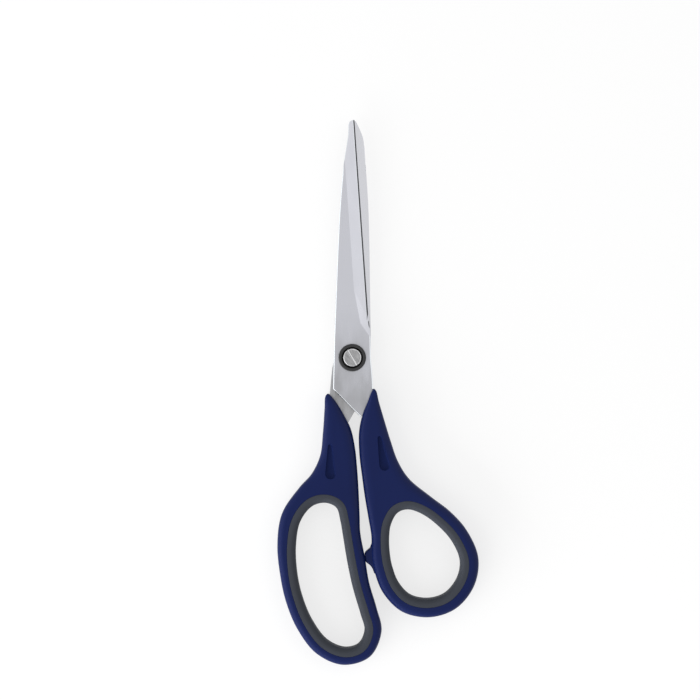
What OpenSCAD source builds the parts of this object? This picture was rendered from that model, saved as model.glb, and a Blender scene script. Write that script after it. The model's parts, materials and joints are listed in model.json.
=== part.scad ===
// Office scissors, lying closed on a table with the tips towards +Y.
// The plan is drawn from the pivot: +X is the thumb side, +Y the tips.
// The finished part is moved so that its box is centred on the origin and stands on Z = 0.

/* [Blades] */
// Length of each blade from the pivot to the tip
blade_len = 94; // [85:1:110]
// Width of each blade at the pivot
blade_w = 14.4; // [13:0.1:16]
// Thickness of the steel
blade_t = 1.8; // [1.4:0.1:2.2]
// Width of the blunt tip
tip_w = 2; // [1.5:0.1:3]
// How far the finger side blade's tip is rounded back
back_nose = 5.5; // [2:0.1:8]
// How far the thumb side blade's tip is rounded back
front_nose = 1; // [0.5:0.1:4]
// Width of the ground facet behind the cutting edge
facet_w = 4.9; // [3.5:0.1:5.5]
// Steel left at the foot of the facet
facet_foot = 0.6; // [0.4:0.05:0.9]
// Width of the honed strip along the cutting edge
hone_w = 0.6; // [0.3:0.05:0.8]
// Steel left on the cutting edge itself
edge_t = 0.1; // [0.05:0.01:0.2]
// Where the ground facet runs out, above the pivot
facet_end = 8; // [7:0.1:12]
// Gap between the two blades
blade_gap = 0.1; // [0.06:0.01:0.2]
// Lean of the closed blades towards the thumb side, in degrees
blade_lean = 0.7; // [0:0.1:1]

/* [Tangs] */
// How far below the pivot the tangs reach inside the handles
tang_len = 46; // [40:1:49]
// Width of a tang at its end
tang_w = 6.4; // [5:0.1:7]
// Diameter of the holes that lock a tang into its handle
lock_hole_d = 3; // [2:0.1:3.5]
// Distance between the two locking holes
lock_hole_pitch = 8; // [6:0.1:9]
// Middle of the thumb side tang at its end, from the pivot
thumb_tang_x = 9.4; // [8:0.1:10.5]
// Middle of the finger side tang at its end, from the pivot
finger_tang_x = 6.6; // [5.5:0.1:8]

// Point of the thumb side steel between the handles, from the pivot towards the thumb side
thumb_point_x = 3.9; // [2.5:0.1:4.5]
// Point of the thumb side steel, below the pivot
thumb_point_y = 24.1; // [22:0.1:25]
// Point of the finger side steel between the handles, from the pivot towards the finger side
finger_point_x = 1.8; // [1:0.1:2.5]
// Point of the finger side steel, below the pivot
finger_point_y = 26.1; // [24:0.1:27]
// Corner where the finger side steel turns up behind the thumb side steel, below the pivot
crotch_y = 21; // [19:0.1:22]

/* [Pivot] */
// Diameter of the screw's shank
shank_d = 4; // [3:0.1:4.5]
// Diameter of the screw's head
head_d = 7; // [6.5:0.1:8]
// Height of the screw's head
head_h = 1.2; // [0.9:0.1:1.4]
// Width of the screwdriver slot
slot_w = 0.9; // [0.6:0.1:1.2]
// Depth of the screwdriver slot
slot_depth = 0.6; // [0.4:0.1:0.8]
// Direction of the slot, in degrees from +X
slot_turn = 120; // [0:1:180]
// Diameter of both black washers
washer_d = 10.8; // [10:0.1:12]
// Floor of the cup washer under the screw's head
cup_floor = 0.8; // [0.6:0.1:1]
// Height of the cup washer's raised rim above the blade
cup_h = 1.7; // [1.3:0.1:2]
// Gap between the screw's head and the rim round it
cup_gap = 0.6; // [0.2:0.05:0.8]
// Wall of the cup washer's sleeve, which the front blade turns on
sleeve_wall = 0.5; // [0.4:0.05:0.8]
// Radial clearance of the turning fit
turn_gap = 0.04; // [0.02:0.01:0.08]
// Radial clearance of parts that are screwed together
seat_gap = 0.02; // [0.01:0.01:0.05]
// Thickness of the rear washer
rear_washer_t = 0.7; // [0.5:0.1:0.9]
// Height of the nut
nut_h = 2; // [1.6:0.1:2.1]
// Width of the nut across its flats
nut_flats = 7; // [6.5:0.1:8]

/* [Handles] */
// Thickness of both handles
handle_t = 9.5; // [9.5:0.1:11]
// Width of the hard band round the thumb grip
thumb_band_w = 4; // [3.4:0.1:4.5]
// Width of the hard band round the finger grip
finger_band_w = 3.4; // [3:0.1:4.5]
// Radius that rounds the handles' edges
edge_r = 2.4; // [1.5:0.1:2.6]
// Plastic beside the steel at the tip of the thumb handle
thumb_collar_wall = 0.3; // [0.2:0.05:1]
// Plastic beside the steel at the tip of the finger handle
finger_collar_wall = 0.8; // [0.3:0.05:1.2]
// How much wider than half a blade the thumb side steel is where it enters its handle
thumb_flare = 1; // [0.4:0.1:1.4]
// How much wider than half a blade the finger side steel is where it enters its handle
finger_flare = 1.7; // [1.2:0.1:2.2]
// Top of the thumb handle, below the pivot
thumb_collar_y = 12.3; // [11.5:0.1:13.5]
// Top of the finger handle, below the pivot
finger_collar_y = 14.3; // [13.5:0.1:15.5]
// Length of the drop shaped hollows
drop_len = 13.4; // [10:0.1:15]
// Greatest width of the drop shaped hollows
drop_w = 4; // [3:0.1:4.5]
// Depth of the drop shaped hollows
drop_depth = 0.7; // [0.4:0.1:1]
// Middle of the thumb handle's drop, below the top of the handle
thumb_drop_down = 30.1; // [28:0.1:32]
// Middle of the thumb handle's drop, out from the top of the handle
thumb_drop_out = 4.2; // [3.5:0.1:5]
// Middle of the finger handle's drop, below the top of the handle
finger_drop_down = 31.5; // [29:0.1:33]
// Middle of the finger handle's drop, in from the top of the handle
finger_drop_in = 1.1; // [0.5:0.1:2]

/* [Loops] */
// Width of the thumb hole
thumb_hole_w = 28.2; // [26:0.1:31]
// Length of the thumb hole
thumb_hole_l = 35.5; // [32:0.1:39]
// Width of the finger hole
finger_hole_w = 27.5; // [25:0.1:30]
// Length of the finger hole
finger_hole_l = 57.2; // [52:0.1:62]
// Width of the soft grip that lines each hole
grip_w = 3.4; // [2.8:0.1:4]
// Depth of the tongue that holds the grip
tongue_w = 1; // [0.6:0.1:1.4]
// Thickness of the tongue
tongue_t = 3; // [2:0.1:4]

/* [Stop] */
// Place of the stop face, from the pivot towards the thumb side
stop_x = 5; // [4:0.05:5.5]
// Place of the stop face below the pivot
stop_y = 79; // [77:0.5:82]
// Slope of the stop face, in degrees
stop_slope = 10.5; // [8:0.5:12]
// How far the nub stands out of the thumb handle
nub_out = 2.5; // [2.2:0.05:3.5]
// Length of the nub's face
nub_face = 3.3; // [2.5:0.1:4]
// Thickness of the nub
nub_t = 6.4; // [5:0.1:7]
// How far the nub's foot spreads along its handle above the face
nub_spread = 2; // [1.5:0.1:3]
// How far the nub's foot runs out along its handle below the face
nub_run_out = 4.2; // [3:0.1:5]
// How much wider the finger handle's band is where the nub meets it
stop_swell = 0.35; // [0:0.05:0.6]
// Gap left at the stop when the scissors are closed
stop_gap = 0.1; // [0.06:0.01:0.2]

/* [Hidden] */

// Steps between two points of a curve, and steps round an edge
curve_steps = 3;
round_steps = 3;
// A size past everything, for cutters
reach = 200;
// Overlap of cutters past the faces they open
past = 1;
$fn = 64;

mid_z = handle_t / 2;
front_z = mid_z + blade_gap / 2;
back_z = mid_z - blade_gap / 2;
half_w = blade_w / 2;
thumb_ring_w = grip_w + thumb_band_w;
finger_ring_w = grip_w + finger_band_w;

// ---------------------------------------------------------------- curves

function left_of(v) = [-v.y, v.x];
function turned(p, a) = [p.x * cos(a) - p.y * sin(a), p.x * sin(a) + p.y * cos(a)];
function flat(p) = [p.x, p.y];

// One point of a smooth curve through b and c, with a and d beyond them (centripetal Catmull-Rom)
function between(a, b, c, d, t) =
    let (ab = max(sqrt(norm(b - a)), 0.01), bc = sqrt(norm(c - b)), cd = max(sqrt(norm(d - c)), 0.01))
    let (mb = bc * ((b - a) / ab - (c - a) / (ab + bc) + (c - b) / bc))
    let (mc = bc * ((c - b) / bc - (d - b) / (bc + cd) + (d - c) / cd))
    (2 * t ^ 3 - 3 * t ^ 2 + 1) * b + (t ^ 3 - 2 * t ^ 2 + t) * mb
    + (3 * t ^ 2 - 2 * t ^ 3) * c + (t ^ 3 - t ^ 2) * mc;

// The closed smooth curve through pts
function smooth_loop(pts) =
    let (n = len(pts))
    [for (i = [0:n - 1], k = [0:curve_steps - 1])
        between(pts[(i - 1 + n) % n], pts[i], pts[(i + 1) % n], pts[(i + 2) % n], k / curve_steps)];

// The open smooth curve through pts
function smooth_path(pts) =
    let (n = len(pts))
    [for (i = [0:n - 2], k = [0:curve_steps - 1])
        between(pts[max(i - 1, 0)], pts[i], pts[i + 1], pts[min(i + 2, n - 1)], k / curve_steps), pts[n - 1]];

// Point i of a closed outline moved outwards by d. The outlines here run clockwise.
function moved_out(pts, i, d) =
    let (n = len(pts), along = flat(pts[(i + 1) % n]) - flat(pts[(i - 1 + n) % n]))
    flat(pts[i]) + d * left_of(along / norm(along));

function grown(pts, d) = [for (i = [0:len(pts) - 1]) moved_out(pts, i, d)];

// ---------------------------------------------------------------- outlines of the loops

stop_out = [cos(stop_slope), sin(stop_slope)];
stop_at = [stop_x, -stop_y];

// Each hole starts at the point nearest the stop and runs clockwise, in shares of its width and length
FINGER_SHAPE = [[0, 0], [0.08, -0.18], [0.19, -0.36], [0.25, -0.475], [0.165, -0.57], [-0.03, -0.597],
                [-0.285, -0.545], [-0.5, -0.41], [-0.64, -0.25], [-0.715, -0.09], [-0.735, 0.11],
                [-0.67, 0.275], [-0.5, 0.38], [-0.31, 0.403], [-0.155, 0.37], [-0.1, 0.285], [-0.06, 0.175]];
THUMB_SHAPE = [[0, 0], [-0.01, 0.17], [0.015, 0.323], [0.111, 0.453], [0.255, 0.488], [0.455, 0.435],
               [0.678, 0.303], [0.86, 0.14], [0.98, -0.08], [0.945, -0.27], [0.774, -0.444], [0.54, -0.504],
               [0.29, -0.465], [0.125, -0.33], [0.035, -0.15]];

finger_hole_at = stop_at - (finger_ring_w + stop_swell) * stop_out;
thumb_hole_at = stop_at + (stop_gap + nub_out + thumb_ring_w) * stop_out;
finger_hole = [for (p = FINGER_SHAPE) finger_hole_at + [p.x * finger_hole_w, p.y * finger_hole_l]];
thumb_hole = [for (p = THUMB_SHAPE) thumb_hole_at + [p.x * thumb_hole_w, p.y * thumb_hole_l]];

// ---------------------------------------------------------------- outlines of the handles

// Steel edge at the top of each handle, and the tip of plastic beside it
thumb_root_x = half_w + thumb_flare;
finger_root_x = half_w + finger_flare;
thumb_tip = [thumb_root_x + thumb_collar_wall, -thumb_collar_y];
finger_tip = [-finger_root_x - finger_collar_wall, -finger_collar_y];

// Points of each stem from its tip, clockwise, in shares of the hole's width and of the way down to the
// stop, with the share of the edge rounding that each has
THUMB_STEM = [[-0.128, -0.634, 1], [-0.167, -0.513, 1], [-0.202, -0.388, 1], [-0.207, -0.256, 1],
              [-0.158, -0.152, 0.9], [-0.089, -0.08, 0.6], [-0.031, -0.017, 0.25], [0, 0, 0.15],
              [0.032, -0.012, 0.25], [0.071, -0.076, 0.6], [0.144, -0.181, 0.9], [0.238, -0.311, 1],
              [0.34, -0.431, 1], [0.496, -0.534, 1]];
FINGER_STEM = [[-0.229, -0.487, 1], [-0.109, -0.377, 1], [-0.069, -0.235, 1], [-0.045, -0.088, 0.8],
               [-0.033, -0.015, 0.3], [0, 0, 0.15], [0.04, -0.009, 0.3], [0.124, -0.053, 0.6],
               [0.236, -0.131, 0.9], [0.331, -0.213, 1], [0.393, -0.332, 1], [0.422, -0.451, 1],
               [0.444, -0.59, 1]];

function stem(shape, tip, w, collar_y) =
    [for (p = shape) [tip.x + p.x * w, tip.y + p.y * (stop_y - collar_y), p.z * edge_r]];
thumb_stem = stem(THUMB_STEM, thumb_tip, thumb_hole_w, thumb_collar_y);
finger_stem = stem(FINGER_STEM, finger_tip, finger_hole_w, finger_collar_y);

// A handle's outline: bands round its hole as far as point `first` and from point `last` on, and its stem
// between them. Each of `swells` holds the number of a point of the hole, and how much wider its band is.
function swell(swells, i) =
    let (found = [for (p = swells) if (p.x == i) p.y]) len(found) > 0 ? found[0] : 0;
function band(hole, ring_w, swells, i) = concat(moved_out(hole, i, ring_w + swell(swells, i)), edge_r);
function outline(hole, ring_w, stem, first, last, swells) = concat(
    [for (i = [0:first]) band(hole, ring_w, swells, i)],
    stem,
    [for (i = [last:len(hole) - 1]) band(hole, ring_w, swells, i)]);

thumb_swells = [[1, -0.08 * thumb_band_w], [2, 0.55 * thumb_band_w], [5, 0.05 * thumb_band_w]];
finger_swells = [[0, stop_swell], [10, 0.18 * finger_band_w], [11, 0.35 * finger_band_w],
                 [12, 0.62 * finger_band_w], [15, 0.35 * finger_band_w], [16, 0.07 * finger_band_w]];
thumb_outline = outline(thumb_hole, thumb_ring_w, thumb_stem, 2, 5, thumb_swells);
finger_outline = outline(finger_hole, finger_ring_w, finger_stem, 12, 15, finger_swells);

thumb_outer = smooth_loop(thumb_outline);
finger_outer = smooth_loop(finger_outline);
thumb_inner = smooth_loop(thumb_hole);
finger_inner = smooth_loop(finger_hole);

// ---------------------------------------------------------------- outlines of the blades

// A blade in its own place: cutting edge and handle towards +X, inner face on Z = 0. The finger side blade is
// wider at its tip, where its edge lies behind the other's.
edge_foot = [half_w * 0.868, blade_len * 0.157];
front_edge_x = -tip_w * 0.15;
back_edge_x = tip_w * 0.3;

// Back of each tip, as shares of its width and distances down from the end
front_tip = [[1.34, front_nose + 5], [1.17, front_nose], [0.48, front_nose / 8]];
back_tip = [[1.73, back_nose + 2.9], [1.3, back_nose], [0.14, back_nose / 9]];
function spine(tip) = [[-half_w, facet_end], [-half_w * 0.957, blade_len * 0.21],
    [-half_w * 0.865, blade_len * 0.475], [-half_w * 0.755, blade_len * 0.665],
    [-half_w * 0.6, blade_len * 0.81],
    each [for (p = tip) [-tip_w * p.x, blade_len - p.y]]];
run_out = [edge_foot, [half_w * 0.925, (edge_foot.y + facet_end) / 2 + 1],
           [half_w * 0.965, facet_end + 2], [half_w * 0.98, facet_end]];

function blade_plan(tip, edge_x, lean, tang) = concat(
    [for (p = concat(smooth_path(spine(tip)), [[edge_x, blade_len - tip[2].y]], smooth_path(run_out)))
        turned(p, lean)],
    tang);

// Each tang runs down inside its handle, leaning out a little, and comes back up to the blade's far side
tang_lean = tang_w / 6;
front_tang = [[half_w + thumb_flare * 0.1, 0], [half_w + thumb_flare * 0.6, -thumb_collar_y * 0.41],
    [half_w + thumb_flare * 0.88, -thumb_collar_y * 0.75], [thumb_root_x, -thumb_collar_y],
    [thumb_tang_x, -thumb_collar_y * 1.65],
    [thumb_tang_x + tang_w / 2, -tang_len * 0.78], [thumb_tang_x + tang_w / 2 + tang_lean, -tang_len],
    [thumb_tang_x - tang_w / 2 + tang_lean, -tang_len],
    [thumb_tang_x - tang_w / 2 - tang_lean, -tang_len * 0.65], [thumb_point_x, -thumb_point_y],
    [-half_w * 1.055, -thumb_collar_y * 1.01]];
back_tang = [[half_w + finger_flare * 0.1, -finger_collar_y * 0.14],
    [half_w + finger_flare * 0.42, -finger_collar_y * 0.29],
    [half_w + finger_flare * 0.68, -finger_collar_y * 0.58], [finger_root_x, -finger_collar_y],
    [finger_root_x + tang_w / 20, -finger_collar_y * 1.84],
    [finger_tang_x + tang_w / 2, -tang_len], [finger_tang_x - tang_w / 2, -tang_len],
    [finger_tang_x - tang_w / 2 - tang_lean / 2, -tang_len * 0.65], [finger_point_x, -finger_point_y],
    [-half_w * 0.15, -crotch_y], [-half_w * 1.015, -finger_collar_y * 0.8]];
front_plan = blade_plan(front_tip, front_edge_x, -blade_lean, front_tang);
back_plan = blade_plan(back_tip, back_edge_x, blade_lean, back_tang);
lock_hole_y = -tang_len + 6;

// ---------------------------------------------------------------- place of the part

origin_x = (min([for (p = finger_outer) p.x]) + max([for (p = thumb_outer) p.x])) / 2;
origin_y = (min([for (p = finger_outer) p.y]) + max([for (p = front_plan) p.y])) / 2;

module placed() translate([-origin_x, -origin_y, 0]) children();

// ---------------------------------------------------------------- blades

// Everything above a plane that passes through `at` and falls away to the right of a line turned by `turn`
module above_plane(at, turn, fall)
    translate(at) rotate([0, 0, turn]) rotate([0, fall, 0])
        translate([-reach, -reach, 0]) cube([2 * reach, 2 * reach, reach]);

// Which way a line runs, and how steeply a plane falls from it to the foot of the facet
function turn_of(along) = atan2(-along.x, along.y);
function right_of(turn) = [cos(turn), sin(turn)];
function fall_to_foot(from, turn) = atan2(blade_t - facet_foot, (edge_foot - from) * right_of(turn));

// The facet is ground to a straight edge. Above the pivot it runs out in two more planes, and all of them
// fall to the foot of the edge.
out_bend = [half_w * 0.42, facet_end * 1.7];
out_end = [half_w * 0.98, facet_end];

module ground_off(edge_x, lean) rotate([0, 0, lean]) {
    edge_along = [edge_x, blade_len] - edge_foot;
    edge_turn = turn_of(edge_along);
    facet_top = edge_foot - facet_w * right_of(edge_turn);
    out_start = facet_top + edge_along * 0.16;
    out_turn = turn_of(out_start - out_bend);
    end_turn = turn_of(out_bend - out_end);
    hone_top = edge_foot - hone_w * right_of(edge_turn);
    hone_z = facet_foot + hone_w * (blade_t - facet_foot) / facet_w;
    intersection() {
        above_plane([facet_top.x, facet_top.y, blade_t], edge_turn, fall_to_foot(facet_top, edge_turn));
        above_plane([out_bend.x, out_bend.y, blade_t], out_turn, fall_to_foot(out_bend, out_turn));
        above_plane([out_bend.x, out_bend.y, blade_t], end_turn, fall_to_foot(out_bend, end_turn));
    }
    intersection() {
        above_plane([hone_top.x, hone_top.y, hone_z], edge_turn, atan2(hone_z - edge_t, hone_w));
        above_plane([out_bend.x, out_bend.y, blade_t], end_turn, fall_to_foot(out_bend, end_turn));
    }
}

// The steel before it is ground, with the two holes that the handle's plastic fills
module blank(plan, tang_x) difference() {
    linear_extrude(blade_t) polygon(plan);
    for (i = [0, 1]) translate([tang_x, lock_hole_y + i * lock_hole_pitch, -past])
        cylinder(d = lock_hole_d, h = blade_t + 2 * past);
}

module blade(plan, tang_x, edge_x, lean, bore_d) difference() {
    blank(plan, tang_x);
    ground_off(edge_x, lean);
    translate([0, 0, -past]) cylinder(d = bore_d, h = blade_t + 2 * past);
}

module front_side() translate([0, 0, front_z]) children();
module back_side() translate([0, 0, back_z]) rotate([0, 180, 0]) children();

module front_blade() color([0.77, 0.78, 0.8]) placed() front_side()
    blade(front_plan, thumb_tang_x, front_edge_x, -blade_lean,
        shank_d + 2 * (seat_gap + sleeve_wall + turn_gap));

module back_blade() color([0.72, 0.73, 0.75]) placed() back_side()
    blade(back_plan, finger_tang_x, back_edge_x, blade_lean, shank_d + 2 * seat_gap);

// ---------------------------------------------------------------- handles and grips

// A closed ring, whose sections are lists of points of equal length
module ring(sections) {
    m = len(sections);
    k = len(sections[0]);
    polyhedron([for (s = sections) each s],
        [for (i = [0:m - 1], j = [0:k - 1])
            let (next = (i + 1) % m, a = i * k + j, b = i * k + (j + 1) % k)
            let (c = next * k + (j + 1) % k, d = next * k + j)
            each [[a, c, b], [a, d, c]]]);
}

// Round edge as [how far in, height], whose first and last chords run on past the faces that they leave
ROUND = [for (k = [0:round_steps]) let (a = 90 * k / round_steps) [1 - cos(a), sin(a)]];
ROUND_RUN = concat([1.5 * ROUND[0] - 0.5 * ROUND[1]], [for (k = [1:round_steps - 1]) ROUND[k]],
    [1.5 * ROUND[round_steps] - 0.5 * ROUND[round_steps - 1]]);

// Section at point i of what rounds off the top edge of a handle. z in the outline is its edge radius there.
function edge_section(outer, i) =
    let (r = outer[i].z, low = handle_t - r, first = ROUND_RUN[0], last = ROUND_RUN[round_steps])
    concat(
        [for (z = [handle_t + past, low + r * first.y]) concat(moved_out(outer, i, past), z)],
        [for (p = ROUND_RUN) concat(moved_out(outer, i, -r * p.x), low + r * p.y)],
        [concat(moved_out(outer, i, -r * last.x), handle_t + past)]);

module edge_cut(outer) ring([for (i = [len(outer) - 1:-1:0]) edge_section(outer, i)]);

// A handle without its stop and tang: a rounded slab with a hole that has a tongue round it for the grip
module handle_body(outer, inner) difference() {
    linear_extrude(handle_t) polygon([for (p = outer) flat(p)]);
    translate([0, 0, -past]) linear_extrude(handle_t + 2 * past) polygon(grown(inner, grip_w - tongue_w));
    for (z = [-past, mid_z + tongue_t / 2]) translate([0, 0, z])
        linear_extrude(mid_z - tongue_t / 2 + past) polygon(grown(inner, grip_w));
    edge_cut(outer);
    translate([0, 0, handle_t]) mirror([0, 0, 1]) edge_cut(outer);
}

// Section of a grip: [share of its width from the wall, depth below the handle's faces]
grip_sink = 0.35;
GRIP_SIDE = [[0, grip_sink], [0.16, 0.05], [0.45, 0], [0.75, 0.5], [0.93, 1.4], [1, 2.6]];

function grip_section(inner, i) =
    let (slot = moved_out(inner, i, grip_w - tongue_w), wall = moved_out(inner, i, grip_w))
    concat(
        [for (p = GRIP_SIDE) concat(moved_out(inner, i, grip_w * (1 - p.x)), handle_t - p.y)],
        [for (k = [len(GRIP_SIDE) - 1:-1:0])
            concat(moved_out(inner, i, grip_w * (1 - GRIP_SIDE[k].x)), GRIP_SIDE[k].y)],
        [concat(wall, mid_z - tongue_t / 2), concat(slot, mid_z - tongue_t / 2),
         concat(slot, mid_z + tongue_t / 2), concat(wall, mid_z + tongue_t / 2)]);

module grip_body(inner)
    ring([for (i = [0:len(inner) - 1]) grip_section(inner, i)]);

// Drop shaped hollow in both faces, with its point towards the blades
module drops(at, turn) {
    point_r = drop_w / 8;
    for (z = [-past, handle_t - drop_depth]) translate([at.x, at.y, z]) rotate([0, 0, turn])
        linear_extrude(drop_depth + past) hull() {
            circle(d = drop_w, $fn = 32);
            translate([0, drop_len - drop_w / 2 - point_r]) circle(r = point_r, $fn = 32);
        }
}

// The nub on the thumb handle that meets the finger handle when the scissors close
module nub() {
    half = nub_face / 2;
    bevel = 0.6;
    root = nub_out + thumb_band_w / 3;
    translate([stop_at.x, stop_at.y, mid_z - nub_t / 2]) rotate([0, 0, stop_slope])
        linear_extrude(nub_t) polygon([[stop_gap, -half], [stop_gap, half], [stop_gap + bevel, half + bevel],
            [nub_out + bevel, half + nub_spread], [root, half + nub_spread], [root, -half - nub_run_out],
            [nub_out * 0.94, -half - nub_run_out], [nub_out * 0.84, -half - nub_run_out * 0.67],
            [nub_out * 0.57, -half - nub_run_out * 0.35], [stop_gap + bevel / 2, -half - bevel / 2]]);
}

module thumb_handle() color([0.12, 0.14, 0.36]) placed() difference() {
    union() {
        handle_body(thumb_outer, thumb_inner);
        nub();
    }
    front_side() blank(front_plan, thumb_tang_x);
    drops([thumb_tip.x + thumb_drop_out, thumb_tip.y - thumb_drop_down], 10);
}

module finger_handle() color([0.12, 0.14, 0.36]) placed() difference() {
    handle_body(finger_outer, finger_inner);
    back_side() blank(back_plan, finger_tang_x);
    drops([finger_tip.x + finger_drop_in, finger_tip.y - finger_drop_down], 1);
}

module thumb_grip() color([0.28, 0.29, 0.3]) placed() grip_body(thumb_inner);
module finger_grip() color([0.28, 0.29, 0.3]) placed() grip_body(finger_inner);

// ---------------------------------------------------------------- pivot

front_face = front_z + blade_t;
back_face = back_z - blade_t;
seat_z = front_face + cup_floor;
nut_z = back_face - rear_washer_t - nut_h;
head_chamfer = 0.25;
nut_chamfer = 0.3;
thread_end = 0.15;

module pivot_screw() color([0.7, 0.71, 0.72]) placed() difference() {
    union() {
        translate([0, 0, nut_z + thread_end]) cylinder(d = shank_d, h = seat_z - nut_z - thread_end);
        translate([0, 0, seat_z]) cylinder(d = head_d, h = head_h - head_chamfer);
        translate([0, 0, seat_z + head_h - head_chamfer])
            cylinder(d1 = head_d, d2 = head_d - 2 * head_chamfer, h = head_chamfer);
    }
    translate([0, 0, seat_z + head_h - slot_depth]) rotate([0, 0, slot_turn])
        translate([-head_d, -slot_w / 2, 0]) cube([2 * head_d, slot_w, slot_depth + past]);
}

module front_washer() color([0.12, 0.12, 0.13]) placed() {
    rim_in = head_d / 2 + cup_gap;
    bore = shank_d / 2 + seat_gap;
    rim_top = front_face + cup_h;
    rim_bevel = 0.3;
    sleeve_end = front_z + blade_gap / 2;
    rotate_extrude() polygon([[bore, sleeve_end], [bore + sleeve_wall, sleeve_end],
        [bore + sleeve_wall, front_face], [washer_d / 2, front_face],
        [washer_d / 2, rim_top - rim_bevel], [washer_d / 2 - rim_bevel, rim_top],
        [rim_in + rim_bevel, rim_top], [rim_in, rim_top - rim_bevel], [rim_in, seat_z], [bore, seat_z]]);
}

module rear_washer() color([0.12, 0.12, 0.13]) placed()
    translate([0, 0, back_face - rear_washer_t]) difference() {
        cylinder(d = washer_d, h = rear_washer_t);
        translate([0, 0, -past]) cylinder(d = shank_d + 2 * seat_gap, h = rear_washer_t + 2 * past);
    }

module pivot_nut() color([0.7, 0.71, 0.72]) placed() translate([0, 0, nut_z]) difference() {
    corners = nut_flats / cos(30);
    intersection() {
        cylinder(d = corners, h = nut_h, $fn = 6);
        union() {
            translate([0, 0, nut_chamfer]) cylinder(d = corners + past, h = nut_h);
            cylinder(d1 = nut_flats, d2 = nut_flats + (corners + past - nut_flats), h = nut_chamfer);
        }
    }
    translate([0, 0, -past]) cylinder(d = shank_d + 2 * seat_gap, h = nut_h + 2 * past);
}

front_blade();
back_blade();
thumb_handle();
finger_handle();
thumb_grip();
finger_grip();
pivot_screw();
pivot_nut();
front_washer();
rear_washer();
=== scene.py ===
# Office scissors, lying closed on a table with the blade tips towards +Y. Lengths are in metres, apart from
# those that a comment gives in millimetres.
import json
import math

import bmesh
import bpy
import numpy as np
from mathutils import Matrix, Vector
from mathutils.geometry import delaunay_2d_cdt


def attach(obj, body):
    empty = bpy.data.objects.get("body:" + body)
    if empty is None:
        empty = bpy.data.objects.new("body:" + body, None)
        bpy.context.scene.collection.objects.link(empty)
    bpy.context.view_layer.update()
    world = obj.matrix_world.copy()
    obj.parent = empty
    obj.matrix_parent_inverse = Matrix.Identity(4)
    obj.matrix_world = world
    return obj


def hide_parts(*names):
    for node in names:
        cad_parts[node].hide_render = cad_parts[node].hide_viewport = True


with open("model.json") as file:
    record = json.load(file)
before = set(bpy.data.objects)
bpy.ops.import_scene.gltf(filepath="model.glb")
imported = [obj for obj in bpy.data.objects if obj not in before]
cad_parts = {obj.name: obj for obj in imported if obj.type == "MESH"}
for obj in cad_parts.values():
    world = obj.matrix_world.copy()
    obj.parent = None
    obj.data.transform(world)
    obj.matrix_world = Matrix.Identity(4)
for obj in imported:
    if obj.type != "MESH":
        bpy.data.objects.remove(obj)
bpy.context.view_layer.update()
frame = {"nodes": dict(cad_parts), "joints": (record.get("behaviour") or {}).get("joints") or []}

# ---------------------------------------------------------------- blades
# The two blades are stamped from 1.8 mm stainless sheet and satin ground: a wide facet along each cutting
# edge, a narrow strip honed on it, and rounded rims on the outer face. Their tangs end inside the handles.

PIVOT = Vector(frame["joints"][0]["pos_m"])
BLADE_THICKNESS = 0.0018
RIM_ROUNDING = 0.00036
INNER_BREAK = 0.00012
HONE_BREAK = 0.0001
SHORTEST_HONE = 0.01
RUN_OUT_BREAK = 0.00032
RUN_OUT_END = PIVOT.y + 0.0115
TIP_START = PIVOT.y + 0.03
TIP_BREAK = 0.00022
LOWEST_RIM = 0.0005
# Painted shade on the blades' steel, darkest towards the pivot: where it starts and ends along Y, and how
# dark it gets
PIVOT_SHADE_START = PIVOT.y + 0.024
PIVOT_SHADE_END = PIVOT.y - 0.014
PIVOT_SHADE_SHARE = 0.42
# The upright share of a face's normal is below these for a blade's walls, its honed strip and its facet
WALL_BELOW, HONED_BELOW, FACET_BELOW = 0.1, 0.8, 0.99
# The numbers of a blade's three steels: on its faces, on its honed strip and run-out (painted shade), and on
# its rims (painted highlight)
FACE, HONE, RIM = 0, 1, 2


def finish_of(name, colour, **sockets):
    """A new node material with its shader, set by the shader's own sockets."""
    material = bpy.data.materials.new(name)
    material.use_nodes = True
    shader = material.node_tree.nodes["Principled BSDF"]
    shader.inputs["Base Color"].default_value = (*colour, 1)
    for socket, value in sockets.items():
        shader.inputs[socket.replace("_", " ")].default_value = value
    return material, shader


def node(material, kind, links=(), **values):
    """Adds one node. values set its sockets or its own properties, and links gives (socket, node, output)."""
    made = material.node_tree.nodes.new(kind)
    for key, value in values.items():
        if key in made.inputs:
            made.inputs[key].default_value = value
        else:
            setattr(made, key, value)
    for socket, source, output in links:
        material.node_tree.links.new(source.outputs[output], made.inputs[socket])
    return made


def grain(material, scale, detail, stretch=(1, 1, 1)):
    """Noise on the piece's own coordinates, drawn out by stretch."""
    place = node(material, "ShaderNodeTexCoord")
    mapping = node(material, "ShaderNodeMapping", [("Vector", place, "Object")], Scale=stretch)
    return node(material, "ShaderNodeTexNoise", [("Vector", mapping, "Vector")], Scale=scale, Detail=detail)


def spread(material, source, output, low, high):
    """Maps a value from about 0.3..0.7 to low..high."""
    return node(material, "ShaderNodeMapRange", [("Value", source, output)],
                **{"From Min": 0.3, "From Max": 0.7, "To Min": low, "To Max": high})


def relief(material, shader, source, output, depth, strength):
    """Raises the surface by a texture, depth metres deep."""
    bump = node(material, "ShaderNodeBump", [("Height", source, output)], Distance=depth, Strength=strength)
    material.node_tree.links.new(bump.outputs["Normal"], shader.inputs["Normal"])


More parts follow.
